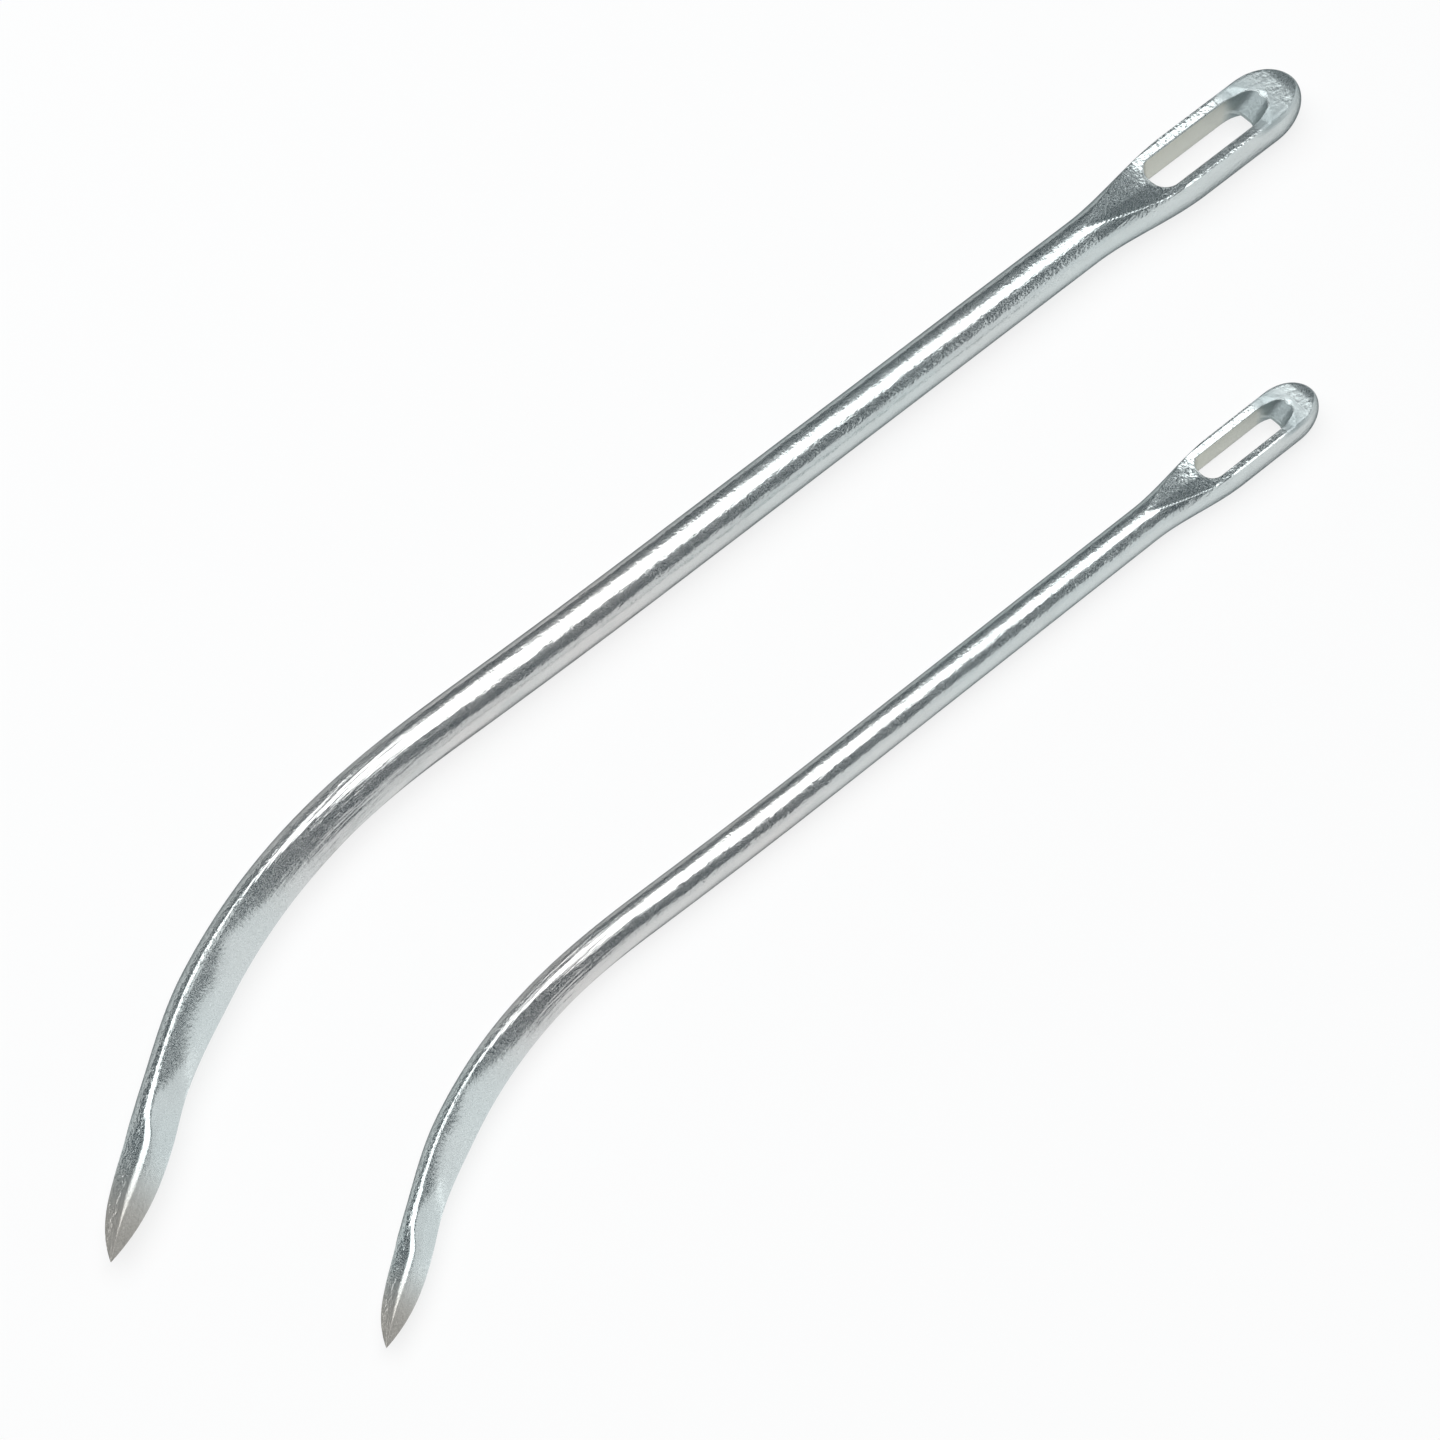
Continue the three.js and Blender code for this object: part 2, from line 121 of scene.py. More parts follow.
# Sizes along the wire and across it: key, label, meaning, large and small needle in millimetres.
LENGTHS = (
    ("wire_length", "Wire length", "From the tip to the end of the head", 127, 99),
    ("bend_length", "Bend length", "Wire over which the bend eases in and out", 47, 36.5),
    ("counter_length", "Counter length", "Wire over which the counter bend comes or goes", 18, 15),
    ("point_straight", "Point straight", "Wire between the tip and the bend", 3, 2.4),
    ("point_length", "Point length", "From the tip to the widest place of the lance", 9.5, 7.4),
    ("point_width", "Point width", "Width of the lance", 3.24, 2.54),
    ("point_thickness", "Point thickness", "Thickness of the lance's stock", 2.5, 1.95),
    ("waist_length", "Waist length", "From the widest place to the waist behind it", 3.1, 2.5),
    ("waist_width", "Waist width", "Width of the waist", 3.06, 2.4),
    ("taper_length", "Taper length", "From the waist to the full diameter of the wire", 8.4, 6.5),
    ("blade_spread", "Blade spread", "Extra width where the inner bevels are", 0.22, 0.2),
    ("outer_bevel_fade", "Outer bevel fade", "Wire over which the outer bevels run out", 4.5, 3.5),
    ("inner_bevel_length", "Inner bevel length", "Where the inner bevels start to run out", 27, 21),
    ("inner_bevel_fade", "Inner bevel fade", "Wire over which the inner bevels run out", 23, 17.9),
    ("inner_turn_start", "Inner turn start", "Where the inner bevels get steeper", 23.3, 18.2),
    ("inner_turn_length", "Inner turn length", "Wire over which they get steeper", 17.2, 13.4),
    ("neck_length", "Neck length", "From the round wire to the start of the eye", 6.8, 5.35),
    ("spread_length", "Spread length", "From the round wire to the head's full width", 10, 7.8),
    ("head_thickness", "Head thickness", "Between the two pressed faces", 2.75, 2.15),
    ("head_crown", "Head crown", "Height of the oval that rounds the head's sides", 5.4, 4.2),
    ("head_end_length", "Head end length", "Rounding of the head's end, from above", 3.8, 2.95),
    ("dome_length", "Dome length", "Rounding of the head's end, from the side", 1.65, 1.29),
    ("gutter_depth", "Gutter depth", "Hollow along the middle of the head's faces", 0.38, 0.29),
    ("gutter_run_out", "Gutter run-out", "From the eye to where the hollow has run out", 1.9, 1.5),
    ("eye_length", "Eye length", "Length of the slot", 9.5, 7.3),
    ("eye_width", "Eye width", "Width of the slot", 2.8, 2.18),
    ("eye_end_wall", "Eye end wall", "Metal between the eye and the head's end", 4.7, 3.55),
    ("eye_corner_radius", "Eye corner radius", "Rounding of the slot, from above", 1.1, 0.86),
    ("eye_edge", "Eye edge", "How far the mouths of the eye flare sideways", 0.12, 0.09),
    ("eye_scoop", "Eye scoop", "How far they lean back towards the head's end", 1.5, 1.17),
    ("bevel_crown", "Bevel crown", "Radius across the slightly round bevels", 12.7, 9.8),
    ("bevel_softness", "Bevel softness", "Rounding along the inner bevels", 0.12, 0.09),
    ("ridge_softness", "Ridge softness", "Rounding along the lance's ridge", 0.55, 0.43),
    ("head_softness", "Head softness", "Rounding along the head's faces", 0.25, 0.2),
    ("gutter_softness", "Gutter softness", "Rounding along the gutter", 0.12, 0.09),
)
# Angles of the wire's axis: key, label, meaning, large and small needle in degrees.
ANGLES = (
    ("bend_angle", "Bend angle", "Angle that the point is bent through", 37.9, 38),
    ("counter_bend", "Counter bend", "Slight bow the other way, behind the bend", 1.15, 1.3),
    ("point_lean", "Point lean", "How far the middle of the lance turns outwards", 5.2, 4.7),
)

# Where the finish changes. In shares of the lance: its ground finish fades.
GROUND_FADES = (0.0, 1.15)
# In shares of the wire: the drawn ripple comes, the warm tint comes and goes.
RIPPLE_COMES = (0.2, 0.44)
WARM_COMES = (0.2, 0.28)
WARM_GOES = (0.44, 0.68)
# In shares of the head's thickness, from its middle: its sides turn into its faces.
FACE_STARTS = (0.3, 0.42)
# In shares of the eye's length, from its middle: its long walls turn into its end.
WALLS_END = (0.35, 0.5)
# Share of the neck that bears press marks.
PRESSED_NECK = 0.4
# Dullness and painted shade behind the eye: run-outs of the gutter over which they fade, and by
# what share.
DULL_REACH = 1.4
DULL_FADE = 0.6
# Places across the blade between which its flecked crest ends.
CREST_EDGE = (-0.7 * MM, -0.4 * MM)

# Random clouds of the finish: stretch along, across and up, clouds a metre, and detail.
CLOUDS = {
    "drift": ((1.0, 0.5, 0.5), 60.0, 2.0),
    "mottle": ((0.35, 1.0, 1.0), 700.0, 3.0),
    "ripple": ((0.3, 1.0, 1.0), 1800.0, 2.0),
    "grain": ((0.6, 1.0, 1.0), 3500.0, 2.0),
    "scratches": ((0.05, 1.0, 1.0), 4000.0, 3.0),
    "flecks": ((0.7, 1.0, 1.0), 6000.0, 1.0),
    "haze": ((1.0, 1.0, 1.0), 30000.0, 0.0),
}
# Clouds that make spots, and the values between which a spot's edge lies.
SPOTS = {"drift": (0.35, 0.65), "mottle": (0.5, 0.75), "haze": (0.51, 0.57)}
# Values of the ground finish between which the plating turns into bare steel.
BARE_STARTS = (0.1, 0.95)
# How much the crest and the shank are flecked.
CREST_FLECKS = 1.6
SHANK_FLECKS = 0.4
# Weights of the masks in the colours and the roughness. The one for all counts everywhere.
TINT = {"drift": 0.3, "warm": 0.7}
DULL = {"mottle": 0.35}
# Share of painted light and shade that the eye's walls and the faces behind the eye get.
EYE_PAINTED_LIGHT_AND_SHADE = {"pierced": 0.8}
ROUGHNESS = {"all": 0.1, "haze": 0.4, "pierced": 0.35, "ground": 0.4}
# The same for each cloud in the relief.
RELIEF = {
    "ripple": {"all": 0.12, "rippled": 0.88},
    "flecks": {"all": 0.1, "ground": 0.9, "flecked": 1.0},
    "grain": {"all": 0.1, "pressed": 1.0, "pierced": -1.05},
    "scratches": {"ground": 0.6, "streaked": 2.5},
}
# Tint of the metal where it is seen at a flat angle. It is very dark: painted shade that darkens
# the outlines of the wire.
EDGE_PAINTED_SHADE = (0.08, 0.1, 0.11, 1.0)

# Half the table's side, and the share of its white that doesn't depend on the lights.
TABLE_REACH = 3.0
TABLE_GLOW = 0.8
# The light overhead: middle, width and depth, turn about the upright, and brightness.
OVERHEAD_PLACE = (-0.056, 0.217, 0.6)
OVERHEAD_EXTENT = (0.872, 0.903)
OVERHEAD_TURN = math.radians(15)
OVERHEAD_BRIGHTNESS = 2.36
# Bright cards that stand on the table: name, foot of the left and of the right edge as seen from
# the needles, height and brightness.
CARDS = (
    ("near card", (1.238, 0.108), (1.605, -0.9), 1.25, 0.88),
    ("tall card", (0.659, -0.369), (0.779, -1.2), 0.856, 0.97),
    ("far card", (0.881, -1.357), (0.624, -2.327), 0.687, 0.88),
)
# Light from all round, which the metal shows where it mirrors neither a light nor the table.
DIM_ROOM = (0.035, 0.053, 0.063, 1.0)
# The camera: what it looks at, where it stands from there, its lens and sensor in millimetres.
CAMERA_AIM = (-4.4376 * MM, 3.6628 * MM, 0.0)
CAMERA_AZIMUTH = math.radians(-43.1)
CAMERA_ELEVATION = math.radians(56)
CAMERA_DISTANCE = 466.6 * MM
CAMERA_LENS = 175
CAMERA_SENSOR = 36
CAMERA_CLIP_START = 10 * MM


def frame_sizes(needle):
    """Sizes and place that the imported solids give: wire, head and where the head ends."""
    shank_low, shank_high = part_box(f"{needle}_shank")
    eye_low, eye_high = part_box(f"{needle}_eye")
    middle = (eye_low + eye_high) / 2
    return SimpleNamespace(
        wire_diameter=shank_high.z - shank_low.z,
        head_width=eye_high.y - eye_low.y,
        head_end=(eye_high.x, middle.y, (shank_low.z + shank_high.z) / 2),
    )


class Value:
    """A node's output. Arithmetic on it adds Math nodes to its tree."""

    def __init__(self, wiring, socket):
        self.wiring = wiring
        self.socket = socket

    def math(self, operation, *others):
        return self.wiring.math(operation, self, *others)

    def __add__(self, other):
        return self.math("ADD", other)

    def __sub__(self, other):
        return self.math("SUBTRACT", other)

    def __rsub__(self, other):
        return self.wiring.math("SUBTRACT", other, self)

    def __mul__(self, other):
        return self.math("MULTIPLY", other)

    def __truediv__(self, other):
        return self.math("DIVIDE", other)

    def __rtruediv__(self, other):
        return self.wiring.math("DIVIDE", other, self)

    def __pow__(self, other):
        return self.math("POWER", other)

    def __abs__(self):
        return self.math("ABSOLUTE")

    __radd__ = __add__
    __rmul__ = __mul__

    def towards(self, other, share):
        """This value at share 0, the other at share 1."""
        return self + (other - self) * share

    def at_least(self, least):
        return self.math("MAXIMUM", least)

    def at_most(self, most):
        return self.math("MINIMUM", most)

    def rise(self, low, high):
        """0 below low and 1 above high, with a smooth step between them."""
        settings = {"interpolation_type": "SMOOTHSTEP"}
        return self.wiring.node("ShaderNodeMapRange", settings, (self, low, high, 0.0, 1.0))

    def rise_along(self, length, shares):
        """The same between two shares of a length."""
        low, high = shares
        return self.rise(length * low, length * high)


class Wiring:
    """Adds nodes to one tree."""

    def __init__(self, tree):
        self.tree = tree

    def node(self, kind, settings=None, inputs=(), output=0):
        """A new node with its settings, then its sockets by name or place. Gives one output."""
        made = self.tree.nodes.new(kind)
        for name, setting in (settings or {}).items():
            setattr(made, name, setting)
        pairs = inputs.items() if isinstance(inputs, dict) else enumerate(inputs)
        for key, value in pairs:
            self.feed(made.inputs[key], value)
        return Value(self, made.outputs[output]) if made.outputs else None

    def feed(self, socket, value):
        if isinstance(value, Value):
            self.tree.links.new(value.socket, socket)
        else:
            socket.default_value = value

    def math(self, operation, *values):
        return self.node("ShaderNodeMath", {"operation": operation}, values)

    def vector_math(self, operation, *values):
        return self.node("ShaderNodeVectorMath", {"operation": operation}, values)

    def combine(self, x, y, z):
        return self.node("ShaderNodeCombineXYZ", None, (x, y, z))

    def separate(self, vector):
        return [self.node("ShaderNodeSeparateXYZ", None, (vector,), axis) for axis in range(3)]

    def blend(self, share, first, second):
        """One colour at share 0, the other at share 1."""
        inputs = {"Factor": share, MIX_FIRST: first, MIX_SECOND: second}
        return self.node("ShaderNodeMix", {"data_type": "RGBA"}, inputs, MIX_RESULT)


def fresh_wiring(owner):
    """Wiring of a material or world whose node tree is emptied first."""
    owner.use_nodes = True
    owner.node_tree.nodes.clear()
    return Wiring(owner.node_tree)


def wire_axis(wiring, size):
    """The axis of the wire as a curve from the tip to the head's end, along which length is u."""
    steps = size.axis_steps
    start = wiring.node("GeometryNodeCurvePrimitiveLine")
    line = wiring.node("GeometryNodeResampleCurve", None, {"Curve": start, "Count": steps + 1})
    index = wiring.node("GeometryNodeSplineParameter", output="Index")
    stride = size.wire_length / steps
    u = (index + 0.5) * stride
    bend_end = size.point_straight + size.bend_length
    bend = size.bend_angle * (1 - u.rise(size.point_straight, bend_end))
    coming = u.rise(bend_end - size.counter_length, bend_end)
    going = u.rise(bend_end, bend_end + size.counter_length)
    lean = size.point_lean * ((u / size.point_length).at_most(1.0) * HALF_TURN).math("SINE")
    heading = bend - size.counter_bend * coming * (1 - going) - lean
    length = stride * index.math("LESS_THAN", steps)
    step = wiring.combine(heading.math("COSINE") * length, heading.math("SINE") * length, 0.0)
    settings = {"data_type": "FLOAT_VECTOR"}
    reached = wiring.node("GeometryNodeAccumulateField", settings, (step,), "Trailing")
    total = wiring.node("GeometryNodeAccumulateField", settings, (step,), "Total")
    from_head = wiring.vector_math("SUBTRACT", reached, total)
    place = wiring.vector_math("ADD", size.head_end, from_head)
    return wiring.node("GeometryNodeSetPosition", None, {"Geometry": line, "Position": place})


def head_places(size):
    """Distances from the tip at which the head starts, the eye starts and the eye ends."""
    eye_end = size.wire_length - size.eye_end_wall
    eye_start = eye_end - size.eye_length
    return eye_start - size.neck_length, eye_start, eye_end


def section_radius(size, u, angle):
    """Distance from the axis to the surface. The angle runs from the inside of the bend over
    the top to its outside, and is the same below."""
    waist = size.point_length + size.waist_length
    inner_fade = u.rise(size.inner_bevel_length, size.inner_bevel_length + size.inner_bevel_fade)
    inner_turn = u.rise(size.inner_turn_start, size.inner_turn_start + size.inner_turn_length)
    outer_fade = u.rise(waist - size.outer_bevel_fade, waist)
    swell = 1 - (1 - (u / size.point_length).at_most(1.0)) ** POINT_FULLNESS
    width, thickness = stock_size(size, u, waist, inner_fade, swell)
    across, up = angle.math("COSINE"), angle.math("SINE")
    radius = 1 / ((across / width) ** 2 + (up / thickness) ** 2).math("SQRT")

    near_waist = 1 - u.rise(waist, size.inner_bevel_length)
    crest_softness = size.bevel_softness * (1 + near_waist)
    ridge_softness = size.ridge_softness * u.rise_along(size.point_length, RIDGE_SOFTENS)
    bevels = (
        (-1, INNER_SLOPE, inner_turn, inner_fade, crest_softness),
        (1, OUTER_SLOPE, outer_fade, outer_fade, ridge_softness),
    )
    for side, full_slope, turning, fade, softness in bevels:
        slope = full_slope + (RUN_OUT_SLOPE - full_slope) * turning
        rise, run = width * slope.math("SINE"), width * slope.math("COSINE")
        crown = 1 / (1 / size.bevel_crown).towards(1 / width, fade)
        distance = crown + rise - (crown ** 2 - run ** 2).at_least(0.0).math("SQRT")
        facing = HALF_TURN / 2 + slope * side
        cut = crowned_radius(distance, angle - facing, crown)
        radius = radius.math("SMOOTH_MIN", cut, softness * (1 - fade) * swell)
    return pressed_radius(size, u, angle, radius)


def stock_size(size, u, waist, inner_fade, swell):
    """Half the width and half the height of the oval that a section is made from."""
    head_start = head_places(size)[0]
    taper_end = waist + size.taper_length
    spread = u.rise(head_start, head_start + size.spread_length)
    past = ((u - size.wire_length) / size.head_end_length + 1).at_least(0.0)
    half = swell * (1 - past ** 2).at_least(0.0).math("SQRT") / 2
    blade = size.point_width.towards(size.waist_width, u.rise(size.point_length, waist))
    full = size.wire_diameter + size.blade_spread * (1 - inner_fade)
    wire = blade.towards(full, u.rise(waist, taper_end))
    thickening = u.rise(size.point_length, taper_end)
    stock = size.point_thickness.towards(size.wire_diameter, thickening)
    return (
        wire.towards(size.head_width, spread) * half,
        stock.towards(size.head_crown, spread) * half,
    )


def pressed_radius(size, u, angle, radius):
    """A section's radius after the faces of the head and their gutter are pressed."""
    head_start, eye_start, eye_end = head_places(size)
    pressed = u.rise(head_start, eye_start)
    past = ((u - size.wire_length) / size.dome_length + 1).at_least(0.0)
    dome = 1 - DOME_DROP * past ** 2
    flat = size.wire_diameter.towards(size.head_thickness, pressed) / 2 * dome
    face = facet_radius(flat, angle - HALF_TURN / 2)
    radius = radius.math("SMOOTH_MIN", face, size.head_softness * pressed)
    deepening = ((u - head_start) / size.neck_length).at_least(0.0).at_most(1.0)
    running_out = ((u - eye_end) / size.gutter_run_out).at_least(0.0).at_most(1.0)
    hollow = deepening.at_most(1 - running_out)
    bottom = flat - size.gutter_depth * hollow
    folded = angle.math("SMOOTH_MIN", HALF_TURN - angle, GUTTER_ROUNDING)
    gutter = facet_radius(bottom * math.cos(GUTTER_SLOPE), folded - HALF_TURN / 2 - GUTTER_SLOPE)
    return radius.math("SMOOTH_MIN", gutter, size.gutter_softness * hollow)


def facet_radius(distance, turn):
    """Distance from the axis to a flat, seen at a turn from the direction that it faces."""
    return distance / turn.math("COSINE").at_least(NEARLY_SQUARE)


def crowned_radius(distance, turn, crown):
    """The same to a face that is round across, with a crown of the given radius."""
    depth = crown - distance
    reach = (crown ** 2 - (depth * turn.math("SINE")) ** 2).at_least(0.0)
    return reach.math("SQRT") - depth * turn.math("COSINE")


def store(wiring, geometry, **vectors):
    """Keeps vectors at each point for the finish."""
    settings = {"data_type": "FLOAT_VECTOR"}
    for name, vector in vectors.items():
        inputs = {"Geometry": geometry, "Name": name, "Value": vector}
        geometry = wiring.node("GeometryNodeStoreNamedAttribute", settings, inputs)
    return geometry


def finish_marks(wiring, size, u, up):
    """How the wire was worked (ground, pressed, pierced) and drawn (streaked, rippled, warm). The
    pierced mask also lays painted shade behind the eye.
    """
    _, eye_start, eye_end = head_places(size)
    ground = 1 - u.rise_along(size.point_length, GROUND_FADES)
    pressed = u.rise(eye_start - size.neck_length * PRESSED_NECK, eye_start)
    behind_eye = u.rise(eye_end - size.gutter_run_out, eye_end)
    fading = u.rise(eye_end, eye_end + size.gutter_run_out * DULL_REACH)
    on_face = abs(up).rise_along(size.head_thickness, FACE_STARTS)
    # Behind the eye this mask dulls the faces and also paints shade on them, in the dark end
    # colour.
    pierced = behind_eye * (1 - fading * DULL_FADE) * on_face
    bevel_middle = size.inner_bevel_length + size.inner_bevel_fade / 2
    bevel_end = size.inner_bevel_length + size.inner_bevel_fade
    streaked = u.rise(size.inner_bevel_length, bevel_middle) * (1 - u.rise(bevel_middle, bevel_end))
    rippled = u.rise_along(size.wire_length, RIPPLE_COMES)
    going = u.rise_along(size.wire_length, WARM_GOES)
    warm = u.rise_along(size.wire_length, WARM_COMES) * (1 - going)
    return {
        "worked": wiring.combine(ground, pressed, pierced),
        "drawn": wiring.combine(streaked, rippled, warm),
    }


def needle_skin(wiring, size):
    """The closed skin of the wire, with its unbent place and how it was worked."""
    sheet = {"Vertices": size.points, "Side Segments": size.rings, "Radius": 1.0, "Depth": 1.0}
    tube = wiring.node("GeometryNodeMeshCylinder", {"fill_type": "NONE"}, sheet)
    x, y, z = wiring.separate(wiring.node("GeometryNodeInputPosition"))
    share = z + 0.5
    crowding = (share * (2 * HALF_TURN)).math("SINE") * (size.ring_crowding / (2 * HALF_TURN))
    u = (share - crowding) * size.wire_length
    spin = (0 - y).math("ARCTAN2", x)
    turn = spin + (spin * SHOULDERS).math("SINE") * (size.point_crowding / SHOULDERS)
    radius = section_radius(size, u, abs(turn))
    across = radius * turn.math("COSINE")
    up = radius * turn.math("SINE")
    along = {"Curves": wire_axis(wiring, size), "Length": u}
    place = wiring.node("GeometryNodeSampleCurve", {"mode": "LENGTH"}, along, "Position")
    tangent = wiring.node("GeometryNodeSampleCurve", {"mode": "LENGTH"}, along, "Tangent")
    inward = wiring.vector_math("CROSS_PRODUCT", tangent, (0.0, 0.0, 1.0))
    shift = {0: inward, "Scale": across}
    sideways = wiring.node("ShaderNodeVectorMath", {"operation": "SCALE"}, shift)
    surface = wiring.vector_math("ADD", place, sideways)
    surface = wiring.vector_math("ADD", surface, wiring.combine(0.0, 0.0, up))
    unbent = wiring.combine(u, across, up)
    marked = store(wiring, tube, unbent=unbent, **finish_marks(wiring, size, u, up))
    skin = wiring.node("GeometryNodeSetPosition", None, {"Geometry": marked, "Position": surface})
    closed = {"Geometry": skin, "Distance": END_GAP}
    return wiring.node("GeometryNodeMergeByDistance", None, closed)


def eye_punch(wiring, size):
    """The tool that pierces the head. Its mouths flare and lean back towards the head's end."""
    rows = 2 * (FLARE_STEPS + 2)
    sheet = {"Vertices": size.points, "Side Segments": rows - 1, "Radius": 1.0, "Depth": 1.0}
    bar = wiring.node("GeometryNodeMeshCylinder", {"fill_type": "NGON"}, sheet)
    x, y, z = wiring.separate(wiring.node("GeometryNodeInputPosition"))
    row = abs(z) * (rows - 1) - 0.5
    theta = (row / FLARE_STEPS).at_most(1.0) * FLARE_TURN
    beyond = (row - FLARE_STEPS).at_least(0.0)
    face = size.head_thickness / 2
    upright = face * UPRIGHT_SHARE
    lip = face - upright
    overrun = face + PUNCH_OVERRUN - upright - lip * math.sin(FLARE_TURN)
    flare = 1 - theta.math("COSINE") + beyond * overrun * math.tan(FLARE_TURN) / lip
    up = z.math("SIGN") * (upright + lip * theta.math("SINE") + beyond * overrun)
    turn = y.math("ARCTAN2", x) + HALF_TURN / size.points
    cosine, sine = turn.math("COSINE"), turn.math("SINE")
    corner = size.eye_corner_radius
    scoop = size.eye_scoop * (abs(up) - upright) / lip
    lean = (size.eye_edge * flare).towards(scoop, cosine.math("GREATER_THAN", 0.0))
    along = cosine.math("SIGN") * (size.eye_length / 2 - corner) + cosine * (corner + lean)
    across = sine.math("SIGN") * (size.eye_width / 2 - corner)
    across = across + sine * (corner + size.eye_edge * flare)
    from_head = along - size.eye_end_wall - size.eye_length / 2
    place = wiring.vector_math("ADD", size.head_end, wiring.combine(from_head, across, up))
    long_walls = 1 - along.rise_along(size.eye_length, WALLS_END)
    # All the eye's walls are marked pierced; the third value of drawn picks painted light for its
    # long walls and painted shade for its end.
    marked = store(
        wiring,
        bar,
        unbent=wiring.combine(from_head + size.wire_length, 0 - across, up),
        worked=(0.0, 1.0, 1.0),
        drawn=wiring.combine(0.0, 1.0, long_walls),
    )
    return wiring.node("GeometryNodeSetPosition", None, {"Geometry": marked, "Position": place})


def needle_tree():
    """The Geometry Nodes tree of a needle. Its inputs are the needle's sizes."""
    tree = bpy.data.node_groups.new(TREE_NAME, "GeometryNodeTree")
    interface = tree.interface
    interface.new_socket("Needle", in_out="OUTPUT", socket_type="NodeSocketGeometry")
    kinds = {key: "Float" for key, *_ in LENGTHS + ANGLES}
    kinds.update(wire_diameter="Float", head_width="Float", head_end="Vector")
    kinds.update(ring_crowding="Float", point_crowding="Float")
    kinds.update(points="Int", rings="Int", axis_steps="Int", steel="Material")
    for key, kind in kinds.items():
        interface.new_socket(key, in_out="INPUT", socket_type=f"NodeSocket{kind}")
    wiring = Wiring(tree)
    group = tree.nodes.new("NodeGroupInput")
    size = SimpleNamespace(**{key: Value(wiring, group.outputs[key]) for key in kinds})

    inputs = {"Mesh 1": needle_skin(wiring, size), "Mesh 2": eye_punch(wiring, size)}
    pierced = wiring.node("GeometryNodeMeshBoolean", {"solver": "MANIFOLD"}, inputs)
    slivers = {"Geometry": pierced, "Distance": PUNCH_GAP}
    clean = wiring.node("GeometryNodeMergeByDistance", None, slivers)
    soft = wiring.node("GeometryNodeInputMeshEdgeAngle").math("LESS_THAN", SOFT_TURN)
    smooth = {"Geometry": clean, "Shade Smooth": soft}
    shaded = wiring.node("GeometryNodeSetShadeSmooth", {"domain": "EDGE"}, smooth)
    real = wiring.node("GeometryNodeRealizeInstances", None, (shaded,))
    coat = {"Geometry": real, "Material": size.steel}
    coated = wiring.node("GeometryNodeSetMaterial", None, coat)
    wiring.node("NodeGroupOutput", None, (coated,))
    return tree


def speckle(wiring, place, stretch, scale, detail):
    """Soft random cloud from 0 to 1, drawn out by the stretch, with a scale in clouds a metre."""
    drawn = wiring.vector_math("MULTIPLY", place, stretch)
    inputs = {"Vector": drawn, "Scale": scale, "Detail": detail}
    return wiring.node("ShaderNodeTexNoise", None, inputs, "Fac")


def weighted(weights, masks):
    """Sum of the masks by their weights, with the weight for all added everywhere."""
    total = weights.get("all", 0.0)
    for name, weight in weights.items():
        if name != "all":
            total = total + masks[name] * weight
    return total


def opaque(colour):
    """The colour with full alpha."""
    return (*colour, 1.0)


def bright_plated_wire(finish):
    """Bright plated wire: faintly tinted along it, rippled and speckled, bare at the point, with
    painted light and shade in the eye and painted shade along its outlines.
    """
    material = bpy.data.materials.new(STEEL_NAME)
    wiring = fresh_wiring(material)
    unbent, worked, drawn = [
        wiring.node("ShaderNodeAttribute", {"attribute_name": name}, (), "Vector")
        for name in ("unbent", "worked", "drawn")
    ]
    clouds = {name: speckle(wiring, unbent, *kind) for name, kind in CLOUDS.items()}
    masks = {name: clouds[name].rise(*edge) for name, edge in SPOTS.items()}
    masks.update(zip(("ground", "pressed", "pierced"), wiring.separate(worked)))
    masks.update(zip(("streaked", "rippled", "warm"), wiring.separate(drawn)))
    across = wiring.separate(unbent)[1]
    crest = (1 - across.rise(*CREST_EDGE)) * (1 - masks["rippled"])
    shank = masks["rippled"] * SHANK_FLECKS
    masks["flecked"] = (crest * CREST_FLECKS).math("MAXIMUM", shank)

    plating, tinted = opaque(finish.plating), opaque(finish.plating_tint)
    plating = wiring.blend(weighted(TINT, masks), plating, tinted)
    plating = wiring.blend(weighted(DULL, masks), plating, opaque(finish.plating_dull))
    bare = wiring.blend(clouds["scratches"], opaque(finish.bare_dark), opaque(finish.bare))
    colour = wiring.blend(masks["ground"].rise(*BARE_STARTS), plating, bare)
    # Painted light and shade in the eye: a pale colour on its long walls, a dark one on its end
    # wall and on the faces behind it.
    cut = wiring.blend(masks["warm"], opaque(finish.end_painted_shade), opaque(finish.walls_painted_light))
    colour = wiring.blend(weighted(EYE_PAINTED_LIGHT_AND_SHADE, masks), colour, cut)

    relief = 0.0
    for name, weights in RELIEF.items():
        relief = relief + clouds[name] * weighted(weights, masks)
    bump = {"Strength": 1.0, "Distance": finish.ripple, "Height": relief}
    metal = {
        "Base Color": colour,
        "Metallic": 1.0,
        # A very dark edge tint: painted shade along the outlines.
        "Specular Tint": EDGE_PAINTED_SHADE,
        "Roughness": weighted(ROUGHNESS, masks),
        "Normal": wiring.node("ShaderNodeBump", None, bump, "Normal"),
    }
    surface = wiring.node("ShaderNodeBsdfPrincipled", None, metal)
    wiring.node("ShaderNodeOutputMaterial", None, {"Surface": surface})
    return material


def size_properties(needle):
    """Annotations of a needle's PropertyGroup, with defaults from the tables above."""
    column = NEEDLES.index(needle)
    made = {}
    for key, label, meaning, *sizes in LENGTHS:
        made[key] = FloatProperty(
            name=label,
            description=meaning,
            default=sizes[column] * MM,
            min=0.0,
            precision=5,
            unit="LENGTH",
        )
    for key, label, meaning, *angles in ANGLES:
        made[key] = FloatProperty(
            name=label,
            description=meaning,
            default=math.radians(angles[column]),
            subtype="ANGLE",
        )
    return made


def colour_property(label, meaning, default):
    return FloatVectorProperty(
        name=label, description=meaning, default=default, min=0.0, max=1.0, subtype="COLOR"
    )


